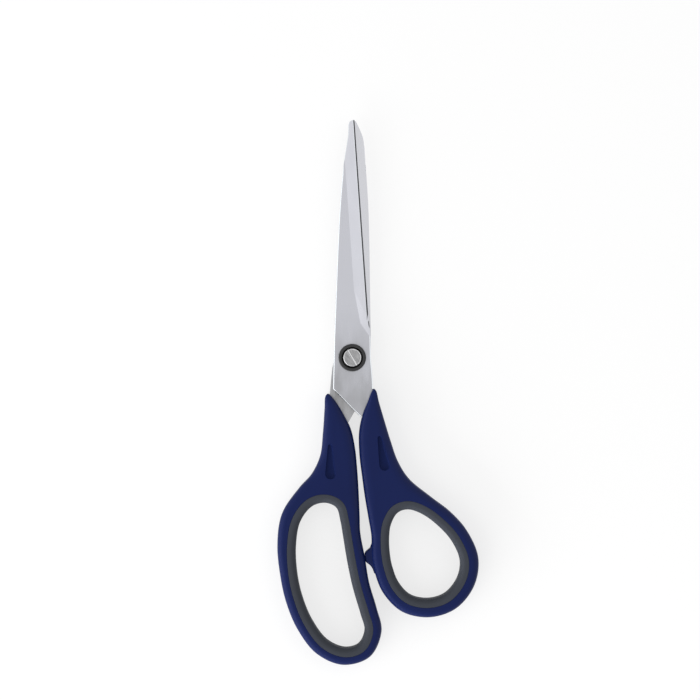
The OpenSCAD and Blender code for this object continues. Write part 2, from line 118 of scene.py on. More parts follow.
def ground_steel(name, colour, roughness, pivot_shade=0.0):
    """Stainless steel with fine grinding marks along the blade and uneven patches, and painted shade that
    darkens it in those patches towards the pivot, as far as the share that its last argument gives."""
    material, shader = finish_of(name, colour, Metallic=1.0, Roughness=roughness)
    lines = grain(material, scale=3.0, detail=3.0, stretch=(900, 14, 200))
    patches = grain(material, scale=1.0, detail=3.0, stretch=(170, 60, 170))
    both = node(material, "ShaderNodeMath", [(0, lines, "Fac"), (1, patches, "Fac")], operation="ADD")
    half = node(material, "ShaderNodeMath", [(0, both, "Value")], operation="MULTIPLY")
    half.inputs[1].default_value = 0.5
    rough = spread(material, half, "Value", low=roughness - 0.07, high=roughness + 0.09)
    material.node_tree.links.new(rough.outputs["Result"], shader.inputs["Roughness"])
    relief(material, shader, lines, "Fac", depth=0.00002, strength=0.12)

    # Painted shade: the colour darkens towards the pivot, in the uneven patches
    place = node(material, "ShaderNodeTexCoord")
    axes = node(material, "ShaderNodeSeparateXYZ", [("Vector", place, "Object")])
    near = node(material, "ShaderNodeMapRange", [("Value", axes, "Y")], interpolation_type="SMOOTHSTEP",
                **{"From Min": PIVOT_SHADE_START, "From Max": PIVOT_SHADE_END, "To Min": 0.08 * pivot_shade, "To Max": pivot_shade})
    mottle = spread(material, patches, "Fac", low=0.3, high=1.0)
    pivot_shading = node(material, "ShaderNodeMath", [(0, near, "Result"), (1, mottle, "Result")],
                operation="MULTIPLY")
    tint = node(material, "ShaderNodeMix", [("Factor", pivot_shading, "Value")], data_type="RGBA")
    tint.inputs["A"].default_value = (*colour, 1)
    tint.inputs["B"].default_value = (*[colour[0] * PIVOT_SHADE_SHARE] * 3, 1)
    material.node_tree.links.new(tint.outputs["Result"], shader.inputs["Base Color"])
    return material


def new_piece(name):
    """A piece in the scene, whose mesh is still empty."""
    made = bpy.data.objects.new(name, bpy.data.meshes.new(name))
    bpy.context.scene.collection.objects.link(made)
    return made


def merged_copy(name, cad_node):
    """A copy of a CAD solid whose loose triangles are joined into whole faces."""
    source = frame["nodes"][cad_node]
    body = bmesh.new()
    body.from_mesh(source.data)
    bmesh.ops.remove_doubles(body, verts=body.verts, dist=1e-6)
    bmesh.ops.dissolve_limit(body, angle_limit=math.radians(0.3), verts=body.verts, edges=body.edges)
    return new_piece(name), body


def write_mesh(made, body, materials):
    """Writes the faces to the piece, and gives it its materials."""
    body.to_mesh(made.data)
    body.free()
    for material in materials:
        made.data.materials.append(material)


def finish_piece(made, body, materials, smooth_below, curved=None):
    """Writes the faces to the piece, smooth apart from edges sharper than smooth_below degrees. Where the
    set curved is given, only edges between two of its faces are smooth. Otherwise, materials meet at sharp
    edges."""
    for edge in body.edges:
        edge.smooth = len(edge.link_faces) == 2 and edge.calc_face_angle(0) < math.radians(smooth_below)
        if curved is None:
            edge.smooth = edge.smooth and len({f.material_index for f in edge.link_faces}) == 1
        else:
            edge.smooth = edge.smooth and all(f in curved for f in edge.link_faces)
    for face in body.faces:
        face.smooth = True
    write_mesh(made, body, materials)


def blade(name, cad_node, outer, steels):
    """A blade with its rims rounded, most of all those of its outer face, which faces outer (1 up, -1 down).
    The raised edges of its facet and of its honed strip are broken too."""
    made, body = merged_copy(name, cad_node)
    inner_z = min(v.co.z * outer for v in body.verts) * outer

    def kind(face):
        """Whether a face is a wall, honed, ground as the facet, or flat."""
        up = abs(face.normal.z)
        if up < WALL_BELOW:
            return "wall"
        if up < HONED_BELOW:
            return "honed"
        return "facet" if up < FACET_BELOW else "flat"

    def between(first, second):
        """The edges between two kinds of faces."""
        return [e for e in body.edges if len(e.link_faces) == 2
                and sorted(kind(f) for f in e.link_faces) == sorted((first, second))]

    def softened(edges, size, steps, steel):
        """Rounds edges over, in the steel of that number, and gives the new faces."""
        return set(bmesh.ops.bevel(body, geom=edges, offset=size, segments=steps, profile=0.5, affect="EDGES",
                                   clamp_overlap=False, material=steel)["faces"])

    def stamped(edge, facing):
        """Whether an edge is the rim between a wall of full thickness and the flat that faces `facing`."""
        wall, flat = sorted(edge.link_faces, key=lambda f: abs(f.normal.z))
        heights = [v.co.z for v in wall.verts]
        return flat.normal.z * facing > FACET_BELOW and max(heights) - min(heights) > 0.9 * BLADE_THICKNESS

    def ground_rim(start, end):
        """The raised edges between the facet and the walls whose lower end is from start to end along Y."""
        return [e for e in between("facet", "wall") if start < min(v.co.y for v in e.verts) <= end
                and min(abs(v.co.z - inner_z) for v in e.verts) > LOWEST_RIM]

    # The honed strip and the run-out take the near black hone steel, which is painted shade. The edge of the
    # honed strip and the tip's rims take the light rim steel, which is a painted highlight.
    for face in body.faces:
        face.material_index = HONE if kind(face) == "honed" else FACE
    honed_rim = [e for e in between("facet", "honed") if e.calc_length() > SHORTEST_HONE]
    softened(honed_rim, HONE_BREAK, steps=1, steel=RIM)
    softened(ground_rim(RUN_OUT_END, TIP_START), RUN_OUT_BREAK, steps=1, steel=HONE)
    softened(ground_rim(TIP_START, math.inf), TIP_BREAK, steps=2, steel=RIM)
    rounded = set()
    for facing, size, steps, steel in ((outer, RIM_ROUNDING, 5, RIM), (-outer, INNER_BREAK, 2, FACE)):
        rounded |= softened([e for e in between("flat", "wall") if stamped(e, facing)], size, steps, steel)
    curved = {f for f in body.faces if f in rounded or kind(f) == "wall"}
    finish_piece(made, body, steels, smooth_below=32, curved=curved)
    return made


# The last number of each face steel is its share of painted shade towards the pivot
front_steel = ground_steel("front_blade_steel", (0.55, 0.556, 0.60), roughness=0.30, pivot_shade=0.66)
back_steel = ground_steel("back_blade_steel", (0.635, 0.64, 0.675), roughness=0.27, pivot_shade=1.0)
# The hone steel is near black: painted shade for the shadowed gap between the blades along the cutting edge
hone_shade_steel = ground_steel("honed_edge_painted_shade", (0.07, 0.07, 0.075), roughness=0.38)
# The rim steel is lighter and bluish: a painted highlight on the rims, the tip and the edge of the honed
# strip
rim_highlight_steel = ground_steel("rim_painted_highlight", (0.74, 0.77, 0.80), roughness=0.20)

front_blade = blade("front_blade_ground", "front_blade", 1, (front_steel, hone_shade_steel, rim_highlight_steel))
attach(front_blade, "thumb_half")
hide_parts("front_blade")

back_blade = blade("back_blade_ground", "back_blade", -1, (back_steel, hone_shade_steel, rim_highlight_steel))
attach(back_blade, "finger_half")
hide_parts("back_blade")

# ---------------------------------------------------------------- handles
# The two handles are moulded round the tangs in hard navy plastic with a satin skin. Their edges are fully
# rounded and their faces gently domed, each has a drop shaped hollow in both faces, and the thumb handle
# carries the nub that stops the blades. Their sizes are in millimetres, with the plan drawn from the pivot.

HANDLE_THICKNESS = 9.5
GRIP_WIDTH = 3.4
SEAM_RADIUS = 0.18
EDGE_RADIUS = 2.4
SEAM_MARGIN = 0.06
RING_TRIM = 0.08
CURVE_STEPS, EDGE_STEPS, DOME_STEPS = 10, 8, 4
FILL_SPACING = 1.6
ROW_SPACING = FILL_SPACING * 0.87
DOME_SLOPE = math.radians(12)
NAVY = (0.0046, 0.0114, 0.072)
# The numbers of a handle's two plastics: on its faces, and in its hollows, rougher and painted a little
# darker as shade
SATIN, HOLLOW = 0, 1


def placed(x, y, z):
    """A plan point at height z, in millimetres, as a place in the frame."""
    return (PIVOT.x + x / 1000, PIVOT.y + y / 1000, z / 1000)


def curve_loop(points, steps=CURVE_STEPS):
    """The smooth closed curve through points, whose columns after x and y follow along."""
    pts = np.array(points, float)
    n = len(pts)
    loop = []
    for i in range(n):
        a, b, c, d = pts[i - 1], pts[i], pts[(i + 1) % n], pts[(i + 2) % n]
        ab, bc, cd = (math.sqrt(np.linalg.norm(q[:2] - p[:2])) for p, q in ((a, b), (b, c), (c, d)))
        leave = bc * ((b - a) / ab - (c - a) / (ab + bc) + (c - b) / bc)
        arrive = bc * ((c - b) / bc - (d - b) / (bc + cd) + (d - c) / cd)
        for k in range(steps):
            t = k / steps
            loop.append((2 * t ** 3 - 3 * t ** 2 + 1) * b + (t ** 3 - 2 * t ** 2 + t) * leave
                        + (3 * t ** 2 - 2 * t ** 3) * c + (t ** 3 - t ** 2) * arrive)
    return np.array(loop)


def pushed_out(loop, by):
    """A clockwise plan loop moved outwards by a distance, or by one for each point."""
    along = np.roll(loop[:, :2], -1, 0) - np.roll(loop[:, :2], 1, 0)
    out = np.stack([-along[:, 1], along[:, 0]], 1) / np.linalg.norm(along, axis=1)[:, None]
    return loop[:, :2] + out * np.reshape(by, (-1, 1))


# The outlines of the holes, as shares of their width and length, and of the stems between the pivot and the
# rings, where the third number is a share of the edge radius
FINGER_HOLE = [(0, 0), (0.08, -0.18), (0.19, -0.36), (0.25, -0.475), (0.165, -0.57), (-0.03, -0.597),
               (-0.285, -0.545), (-0.5, -0.41), (-0.64, -0.25), (-0.715, -0.09), (-0.735, 0.11),
               (-0.67, 0.275), (-0.5, 0.38), (-0.31, 0.403), (-0.155, 0.37), (-0.1, 0.285), (-0.06, 0.175)]
THUMB_HOLE = [(0, 0), (-0.01, 0.17), (0.015, 0.323), (0.111, 0.453), (0.255, 0.488), (0.455, 0.435),
              (0.678, 0.303), (0.86, 0.14), (0.98, -0.08), (0.945, -0.27), (0.774, -0.444), (0.54, -0.504),
              (0.29, -0.465), (0.125, -0.33), (0.035, -0.15)]
FINGER_STEM = [(-0.229, -0.487, 1), (-0.109, -0.377, 1), (-0.069, -0.235, 1), (-0.045, -0.088, 0.8),
               (-0.033, -0.015, 0.3), (0, 0, 0.15), (0.04, -0.009, 0.3), (0.124, -0.053, 0.6),
               (0.236, -0.131, 0.9), (0.331, -0.213, 1), (0.393, -0.332, 1), (0.422, -0.451, 1),
               (0.444, -0.59, 1)]
THUMB_STEM = [(-0.128, -0.634, 1), (-0.167, -0.513, 1), (-0.202, -0.388, 1), (-0.207, -0.256, 1),
              (-0.158, -0.152, 0.9), (-0.089, -0.08, 0.6), (-0.031, -0.017, 0.25), (0, 0, 0.15),
              (0.032, -0.012, 0.25), (0.071, -0.076, 0.6), (0.144, -0.181, 0.9), (0.238, -0.311, 1),
              (0.34, -0.431, 1), (0.496, -0.534, 1)]
STOP_SLOPE = math.radians(10.5)
stop_out = np.array([math.cos(STOP_SLOPE), math.sin(STOP_SLOPE)])
stop_at = np.array([5.0, -79.0])

# Each hole's width and length, how far out from the stop it starts, the width of the ring round it, the tip
# of its handle's collar, and how far the dome reaches in beyond the edge, round the hole and along the stem
FINGER_HOLE_SIZE, THUMB_HOLE_SIZE = (27.5, 57.2), (28.2, 35.5)
FINGER_FROM_STOP, THUMB_FROM_STOP = -7.15, 10.0
FINGER_RING, THUMB_RING = 6.8, 7.4
FINGER_TIP, THUMB_TIP = (-9.7, -14.3), (8.5, -12.3)
FINGER_DOME, THUMB_DOME = (0.75, 2.2), (0.95, 2.2)


def hole_of(shape, size, from_stop):
    """The points of a handle's hole, whose first lies from_stop outwards from the stop."""
    return stop_at + from_stop * stop_out + np.array(shape) * size


def outline_of(hole, width, ring_width, tip, stem, first, last, swells, dome):
    """A handle's outline points: x, y, share of the edge radius, and reach of the dome beyond the edge. The
    ring runs up to its point first and on from its point last, with the stem between them, whose points are
    shares of the hole's width and of the way down to the stop."""
    widths = np.full(len(hole), ring_width - RING_TRIM)
    for point, more in swells.items():
        widths[point] += more
    band = [(*p, 1.0, dome[0]) for p in pushed_out(hole, widths)]
    size = (width, tip[1] - stop_at[1])
    middle = [(tip[0] + x * size[0], tip[1] + y * size[1], share, dome[1] * share ** 2)
              for x, y, share in stem]
    return band[:first + 1] + middle + band[last:]


# How much wider the ring is at some of its points
FINGER_SWELLS = {0: 0.35 + RING_TRIM, 10: 0.61, 11: 1.19, 12: 2.11, 15: 1.19, 16: 0.24}
THUMB_SWELLS = {1: -0.32, 2: 2.2, 5: 0.2}

finger_hole = hole_of(FINGER_HOLE, FINGER_HOLE_SIZE, FINGER_FROM_STOP)
thumb_hole = hole_of(THUMB_HOLE, THUMB_HOLE_SIZE, THUMB_FROM_STOP)
finger_outline = outline_of(finger_hole, FINGER_HOLE_SIZE[0], FINGER_RING, FINGER_TIP, FINGER_STEM,
                            first=12, last=15, swells=FINGER_SWELLS, dome=FINGER_DOME)
thumb_outline = outline_of(thumb_hole, THUMB_HOLE_SIZE[0], THUMB_RING, THUMB_TIP, THUMB_STEM,
                           first=2, last=5, swells=THUMB_SWELLS, dome=THUMB_DOME)


def edge_profile(radius, dome):
    """Steps of a handle's edge as (how far in, how far below the face): a small arc, then the flat dome."""
    small = []
    big = dome / math.sin(DOME_SLOPE)
    fall = big * (1 - math.cos(DOME_SLOPE))
    for k in range(EDGE_STEPS + 1):
        a = (math.pi / 2 - DOME_SLOPE) * k / EDGE_STEPS
        small.append((radius * (1 - math.cos(a)), fall + radius * (math.cos(DOME_SLOPE) - math.sin(a))))
    reach = small[-1][0]
    rest = [DOME_SLOPE * (1 - k / DOME_STEPS) for k in range(1, DOME_STEPS + 1)]
    return small + [(reach + big * (math.sin(DOME_SLOPE) - math.sin(b)), big * (1 - math.cos(b)))
                    for b in rest]


def bridge(body, low, high, finish=SATIN):
    """Faces between two rings of equal length, with the material of that number."""
    for i in range(len(low)):
        j = (i + 1) % len(low)
        body.faces.new((low[j], low[i], high[i], high[j])).material_index = finish


def fill(body, rings):
    """Fills the flat region inside the first ring and outside the others, with even points between them. A
    triangle lies in it if a line from its middle crosses the rings an odd number of times."""
    verts = [v for ring in rings for v in ring]
    height = verts[0].co.z
    plan = [Vector((v.co.x, v.co.y)) * 1000 for v in verts]
    edges, start = [], 0
    for ring in rings:
        edges += [(start + i, start + (i + 1) % len(ring)) for i in range(len(ring))]
        start += len(ring)
    low = [min(p[k] for p in plan[:len(rings[0])]) for k in (0, 1)]
    high = [max(p[k] for p in plan[:len(rings[0])]) for k in (0, 1)]
    for row, y in enumerate(np.arange(low[1], high[1], ROW_SPACING)):
        row_x = low[0] + row % 2 * FILL_SPACING / 2
        plan += [Vector((x, y)) for x in np.arange(row_x, high[0], FILL_SPACING)]
    places, _, faces, source, _, _ = delaunay_2d_cdt(plan, edges, [], 0, 1e-6)
    sides = [(plan[a], plan[b]) for a, b in edges]
    start_y, end_y = (np.array([side[k].y for side in sides]) for k in (0, 1))
    start_x, end_x = (np.array([side[k].x for side in sides]) for k in (0, 1))
    made = {}
    for face in faces:
        x, y = (sum(places[k][axis] for k in face) / 3 for axis in (0, 1))
        crossed = (start_y > y) != (end_y > y)
        share = (y - start_y[crossed]) / (end_y[crossed] - start_y[crossed])
        if np.sum(start_x[crossed] + share * (end_x[crossed] - start_x[crossed]) > x) % 2 == 0:
            continue
        for k in face:
            if k not in made:
                known = source[k][0] if source[k] else len(verts)
                made[k] = verts[known] if known < len(verts) else body.verts.new(
                    (places[k].x / 1000, places[k].y / 1000, height))
        body.faces.new([made[k] for k in face])


def moulded(body, stacks, low, high):
    """A solid between the heights low and high. Each stack holds rings of (plan loop, depth below the face),
    from its wall up to the face, and the same below."""
    faces = []
    for height, down in ((high, 1), (low, -1)):
        made = [[[body.verts.new(placed(x, y, height - down * d))
                  for (x, y), d in zip(plan, np.broadcast_to(depth, len(plan)))]
                 for plan, depth in stack] for stack in stacks]
        for rings in made:
            for lower, upper in zip(rings, rings[1:]):
                bridge(body, lower, upper)
        fill(body, [rings[-1] for rings in made])
        faces.append(made)
    for upper, lower in zip(*faces):
        bridge(body, lower[0], upper[0])


# The drop shaped hollows: the radii of their two ends, the distance between those, and the depth
DROP_BIG, DROP_SMALL, DROP_REACH, DROP_DEPTH = 2.05, 0.9, 10.9, 0.7
# Steps of a hollow's side, from its floor to past the face: how far in, and share of the depth
DROP_SIDE = [(0.8, 1.0), (0.58, 0.95), (0.38, 0.82), (0.22, 0.6), (0.09, 0.3), (0.0, 0.0), (-0.2, -0.8)]
BIG_END_POINTS, SMALL_END_POINTS = 37, 13
THUMB_DROP, FINGER_DROP = (12.7, -42.4), (-8.6, -45.8)
THUMB_DROP_TURN, FINGER_DROP_TURN = math.radians(10), math.radians(1)


def drop_cutter(at, turn):
    """What the mould leaves out of both faces: a hollow in each, whose round end is at `at`, with a narrower
    end above it."""
    body = bmesh.new()
    lean = math.asin((DROP_BIG - DROP_SMALL) / DROP_REACH)
    for height, down in ((HANDLE_THICKNESS, 1), (0.0, -1)):
        rings = []
        for inset, depth in DROP_SIDE:
            ends = [(DROP_BIG - inset) * np.exp(1j * a)
                    for a in np.linspace(lean, -math.pi - lean, BIG_END_POINTS)]
            ends += [1j * DROP_REACH + (DROP_SMALL - inset) * np.exp(1j * a)
                     for a in np.linspace(math.pi - lean, lean, SMALL_END_POINTS)]
            plan = complex(*at) + np.array(ends) * np.exp(1j * turn)
            level = height - down * depth * DROP_DEPTH
            rings.append([body.verts.new(placed(q.real, q.imag, level)) for q in plan])
        for lower, upper in zip(rings, rings[1:]):
            bridge(body, lower, upper, HOLLOW)
        for end in (rings[0], rings[-1]):
            body.faces.new(end).material_index = HOLLOW
    bmesh.ops.recalc_face_normals(body, faces=body.faces)
    return body


def linked(name, body, materials):
    """A piece in the scene with the mesh of body."""
    made = new_piece(name)
    write_mesh(made, body, materials)
    return made


def handle(name, outline, hole, drop_at, drop_turn, extra=None):
    """A handle with its hollows cut into both faces, and what extra adds to it."""
    outer = curve_loop(outline)
    inner = curve_loop(hole)
    profiles = [edge_profile(EDGE_RADIUS * p[2], p[3]) for p in outer]
    edge = [(pushed_out(outer, [-q[k][0] for q in profiles]), np.array([q[k][1] for q in profiles]))
            for k in range(len(profiles[0]))]
    seam = [(pushed_out(inner, GRIP_WIDTH + SEAM_RADIUS * (1 - math.cos(a))), SEAM_RADIUS * (1 - math.sin(a)))
            for a in np.radians([0, 22, 45, 68, 90])]
    seam.append((pushed_out(inner, GRIP_WIDTH + SEAM_RADIUS + SEAM_MARGIN), 0.0))
    body = bmesh.new()
    moulded(body, [edge, seam], 0.0, HANDLE_THICKNESS)
    bmesh.ops.recalc_face_normals(body, faces=body.faces)
    plastics = (navy_plastic, hollow_shade_plastic)
    blank = linked(name + "_blank", body, plastics)
    cutter = linked(name + "_cutter", drop_cutter(drop_at, drop_turn), plastics)
    cut = blank.modifiers.new("hollows", "BOOLEAN")
    cut.operation, cut.solver, cut.object = "DIFFERENCE", "EXACT", cutter
    seen = blank.evaluated_get(bpy.context.evaluated_depsgraph_get())
    body = bmesh.new()
    body.from_mesh(seen.data)
    for spent in (blank, cutter):
        bpy.data.objects.remove(spent)
    if extra:
        extra(body)
    made = new_piece(name)
    finish_piece(made, body, plastics, smooth_below=50)
    return made


# The nub's outline, outwards from the stop face and along it, its edge radius, and the heights of its faces
NUB_PLAN = [(2.55, -6.6), (2.35, -5.7), (2.05, -4.4), (1.4, -3.1), (0.45, -2.05), (0.05, -1.45), (0.03, 0.1),
            (0.08, 1.3), (0.6, 2.2), (1.8, 2.95), (2.75, 3.6), (3.3, 4.6), (4.4, 5.2), (4.9, 0.0),
            (3.9, -6.8)]
NUB_RADIUS = 0.8
NUB_LOW, NUB_HIGH = 1.55, 7.95


def stop_nub(body):
    """Adds the nub, which stands 2.5 mm out of the thumb handle's band and runs out along it."""
    along_stop = np.array([-stop_out[1], stop_out[0]])
    loop = curve_loop([(*(stop_at + x * stop_out + y * along_stop), 0) for x, y in NUB_PLAN], steps=5)
    rings = [(pushed_out(loop, -NUB_RADIUS * (1 - math.cos(a))), NUB_RADIUS * (1 - math.sin(a)))
             for a in np.radians([0, 25, 50, 75, 90])]
    nub = bmesh.new()
    moulded(nub, [rings], NUB_LOW, NUB_HIGH)
    bmesh.ops.recalc_face_normals(nub, faces=nub.faces)
    added = bpy.data.meshes.new("stop_nub")
    nub.to_mesh(added)
    nub.free()
    body.from_mesh(added)
    bpy.data.meshes.remove(added)


def tinted(material, shader, colour, source, output, share):
    """Makes the colour darker and lighter by a share, as a texture says."""
    tint = node(material, "ShaderNodeMix", [("Factor", source, output)], data_type="RGBA")
    tint.inputs["A"].default_value = (*[c * (1 - share) for c in colour], 1)
    tint.inputs["B"].default_value = (*[c * (1 + share) for c in colour], 1)
    material.node_tree.links.new(tint.outputs["Result"], shader.inputs["Base Color"])


def satin_plastic(name, colour, roughness, gloss):
    """Moulded plastic with a fine satin skin and faint clouds in its colour."""
    material, shader = finish_of(name, colour, Roughness=roughness, Specular_IOR_Level=gloss)
    tinted(material, shader, colour, grain(material, scale=45, detail=3.0), "Fac", share=0.14)
    skin = grain(material, scale=2600, detail=2.0)
    rough = spread(material, skin, "Fac", low=roughness - 0.05, high=roughness + 0.06)
    material.node_tree.links.new(rough.outputs["Result"], shader.inputs["Roughness"])
    relief(material, shader, skin, "Fac", depth=0.00002, strength=0.35)
    return material


navy_plastic = satin_plastic("navy_satin_plastic", NAVY, roughness=0.40, gloss=0.14)
# The hollows' navy has a rougher skin, and it is painted a little darker as shade
hollow_shade_plastic = satin_plastic("navy_textured_hollow_painted_shade", (0.0043, 0.0105, 0.063), roughness=0.6, gloss=0.1)

thumb_handle = handle("thumb_handle_moulding", thumb_outline, thumb_hole, THUMB_DROP, THUMB_DROP_TURN,
                      stop_nub)
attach(thumb_handle, "thumb_half")
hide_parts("thumb_handle")

finger_handle = handle("finger_handle_moulding", finger_outline, finger_hole, FINGER_DROP, FINGER_DROP_TURN)
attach(finger_handle, "finger_half")
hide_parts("finger_handle")

# ---------------------------------------------------------------- grips
# Each hole is lined with a band of soft grey elastomer, moulded onto a tongue of the handle. It is as thick
# as the handle, with a fully rounded inner side and a small groove where it meets the hard plastic.

GRIP_GREY = (0.039, 0.044, 0.056)
FINGER_SIDE_RADIUS = 0.0022
BAND_STEP = 0.0007
CORNER_STEPS = 9


def soft_elastomer():
    """Matt grey rubber with a slightly rough skin and faint clouds in its colour."""
    material, shader = finish_of("grey_soft_elastomer", GRIP_GREY, Roughness=0.68, Specular_IOR_Level=0.28)
    tinted(material, shader, GRIP_GREY, grain(material, scale=60, detail=2.0), "Fac", share=0.12)
    skin = grain(material, scale=1800, detail=3.0)
    relief(material, shader, skin, "Fac", depth=0.00004, strength=0.5)
    return material


def grip_tree():
    """Sweeps a rounded band along the closed path that it is given."""
    tree = bpy.data.node_groups.new("soft_grip_band", "GeometryNodeTree")
    sockets = [("Path", "NodeSocketGeometry"), ("Band Width", "NodeSocketFloat"),
               ("Band Thickness", "NodeSocketFloat"), ("Finger Side Radius", "NodeSocketFloat"),
               ("Seam Side Radius", "NodeSocketFloat"), ("Step", "NodeSocketFloat"),
               ("Material", "NodeSocketMaterial")]
    for label, kind in sockets:
        tree.interface.new_socket(label, in_out="INPUT", socket_type=kind)
    tree.interface.new_socket("Band", in_out="OUTPUT", socket_type="NodeSocketGeometry")
    add, join = tree.nodes.new, tree.links.new
    given, result = add("NodeGroupInput"), add("NodeGroupOutput")

    section = add("GeometryNodeCurvePrimitiveQuadrilateral")
    join(given.outputs["Band Width"], section.inputs["Width"])
    join(given.outputs["Band Thickness"], section.inputs["Height"])
    place, parts, which = (add("GeometryNodeInputPosition"), add("ShaderNodeSeparateXYZ"),
                           add("FunctionNodeCompare"))
    join(place.outputs["Position"], parts.inputs["Vector"])
    join(parts.outputs["X"], which.inputs["A"])
    radius = add("GeometryNodeSwitch")
    radius.input_type = "FLOAT"
    join(which.outputs["Result"], radius.inputs["Switch"])
    join(given.outputs["Seam Side Radius"], radius.inputs["False"])
    join(given.outputs["Finger Side Radius"], radius.inputs["True"])
    rounded = add("GeometryNodeFilletCurve")
    rounded.mode = "POLY"
    rounded.inputs["Count"].default_value = CORNER_STEPS
    join(section.outputs["Curve"], rounded.inputs["Curve"])
    join(radius.outputs["Output"], rounded.inputs["Radius"])

    path, even, upright = (add("GeometryNodeMeshToCurve"), add("GeometryNodeResampleCurve"),
                           add("GeometryNodeSetCurveNormal"))
    even.mode = "LENGTH"
    upright.mode = "Z_UP"
    join(given.outputs["Path"], path.inputs["Mesh"])
    join(path.outputs["Curve"], even.inputs["Curve"])
    join(given.outputs["Step"], even.inputs["Length"])
    join(even.outputs["Curve"], upright.inputs["Curve"])
    band, smooth, real, coat = (add("GeometryNodeCurveToMesh"), add("GeometryNodeSetShadeSmooth"),
                                add("GeometryNodeRealizeInstances"), add("GeometryNodeSetMaterial"))
    join(upright.outputs["Curve"], band.inputs["Curve"])
    join(rounded.outputs["Curve"], band.inputs["Profile Curve"])
    join(band.outputs["Mesh"], smooth.inputs["Geometry"])
    join(smooth.outputs["Geometry"], real.inputs["Geometry"])
    join(real.outputs["Geometry"], coat.inputs["Geometry"])
    join(given.outputs["Material"], coat.inputs["Material"])
    join(coat.outputs["Geometry"], result.inputs["Band"])
    return tree


def grip(name, hole, tree, material):
    """A hole's lining, swept along the middle of its band."""
    middle = pushed_out(curve_loop(hole), GRIP_WIDTH / 2)
    path = bpy.data.meshes.new(name + "_path")
    path.from_pydata([placed(x, y, HANDLE_THICKNESS / 2) for x, y in middle],
                     [(i, (i + 1) % len(middle)) for i in range(len(middle))], [])
    drawn = bpy.data.objects.new(name + "_path", path)
    bpy.context.scene.collection.objects.link(drawn)
    sweep = drawn.modifiers.new("band", "NODES")
    sweep.node_group = tree
    sizes = {"Band Width": GRIP_WIDTH / 1000, "Band Thickness": HANDLE_THICKNESS / 1000,
             "Finger Side Radius": FINGER_SIDE_RADIUS, "Seam Side Radius": SEAM_RADIUS / 1000,
             "Step": BAND_STEP, "Material": material}
    for item in tree.interface.items_tree:
        if item.in_out == "INPUT" and item.name in sizes:
            sweep[item.identifier] = sizes[item.name]
    seen = drawn.evaluated_get(bpy.context.evaluated_depsgraph_get())
    made = bpy.data.objects.new(name, bpy.data.meshes.new_from_object(seen))
    made.data.name = name
    bpy.context.scene.collection.objects.link(made)
    bpy.data.objects.remove(drawn)
    return made


grip_band, grip_material = grip_tree(), soft_elastomer()

thumb_grip = grip("thumb_grip_lining", thumb_hole, grip_band, grip_material)
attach(thumb_grip, "thumb_half")
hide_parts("thumb_grip")

finger_grip = grip("finger_grip_lining", finger_hole, grip_band, grip_material)
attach(finger_grip, "finger_half")
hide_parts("finger_grip")

# ---------------------------------------------------------------- pivot
# A slotted steel screw goes through a black plastic cup washer, both blades and a flat washer into a hexagon
# nut. The cup washer's sleeve is the bearing of the front blade. The screw's head lies in the cup.

SLOT_WIDTH = 0.0009
SLOT_DEPTH = 0.0006
SLOT_TURN = math.radians(120)
SLOT_ACROSS = Vector((-math.sin(SLOT_TURN), math.cos(SLOT_TURN), 0))
STEEL_BREAK = 0.00008
HEIGHT_MARGIN = 0.0001
SHARP_ABOVE = math.radians(28)


def broken_copy(name, cad_node, steels, slotted=False):
    """A turned steel piece with its sharp edges broken. The second steel is on its walls, chamfers and edges,
    and the third, where there is one, on the floor and the sides of its slot."""
    made, body = merged_copy(name, cad_node)
    top = max(v.co.z for v in body.verts)
    for face in body.faces:
        flat = abs(face.normal.z) > 0.99
        face.material_index = 0 if flat else 1
        if slotted and face.calc_center_median().z > top - SLOT_DEPTH - HEIGHT_MARGIN:
            in_slot = flat and face.calc_center_median().z < top - HEIGHT_MARGIN
            in_slot = in_slot or abs(face.normal.dot(SLOT_ACROSS)) > 0.99
            face.material_index = 2 if in_slot else face.material_index
    sharp = [e for e in body.edges if len(e.link_faces) == 2 and e.calc_face_angle(0) > SHARP_ABOVE]
    bmesh.ops.bevel(body, geom=sharp, offset=STEEL_BREAK, segments=3, profile=0.5, affect="EDGES",
                    clamp_overlap=True, material=1)
    finish_piece(made, body, steels, smooth_below=30)
    return made


def turned_steel(name, colour, roughness, contrast):
    """Steel with strokes along the screw's slot, and the fine rings that turning leaves round the pivot."""
    material, shader = finish_of(name, colour, Metallic=1.0, Roughness=roughness)
    place = node(material, "ShaderNodeTexCoord")
    centred = node(material, "ShaderNodeMapping", [("Vector", place, "Object")],
                   Location=(-PIVOT.x, -PIVOT.y, 0))
    rings = node(material, "ShaderNodeTexWave", [("Vector", centred, "Vector")], wave_type="RINGS",
                 rings_direction="Z", Scale=1400.0, Distortion=1.5, Detail=2.0)
    along = node(material, "ShaderNodeMapping", [("Vector", place, "Object")], vector_type="TEXTURE",
                 Rotation=(0, 0, SLOT_TURN), Scale=(1, 0.14, 1))
    strokes = node(material, "ShaderNodeTexNoise", [("Vector", along, "Vector")], Scale=420.0, Detail=3.0)
    rough = spread(material, strokes, "Fac", low=roughness - 0.08, high=roughness + 0.12)
    material.node_tree.links.new(rough.outputs["Result"], shader.inputs["Roughness"])
    shade = spread(material, strokes, "Fac", low=0.0, high=1.0)
    tinted(material, shader, colour, shade, "Result", share=contrast)
    relief(material, shader, rings, "Fac", depth=0.00001, strength=0.25)
    return material


# The edge steel is far lighter than the head's: a painted highlight on the screw's chamfers, walls and edges
head_steel = turned_steel("screw_head_steel", (0.33, 0.33, 0.335), roughness=0.36, contrast=0.25)
edge_highlight_steel = turned_steel("screw_edge_painted_highlight", (0.8, 0.8, 0.81), roughness=0.22, contrast=0.1)
# The slot steel is light: a painted highlight along the middle of the slot's floor
slot_light_steel = turned_steel("screw_slot_painted_light", (0.7, 0.7, 0.71), roughness=0.3, contrast=0.1)
nut_steel = turned_steel("nut_steel", (0.5, 0.505, 0.515), roughness=0.34, contrast=0.12)


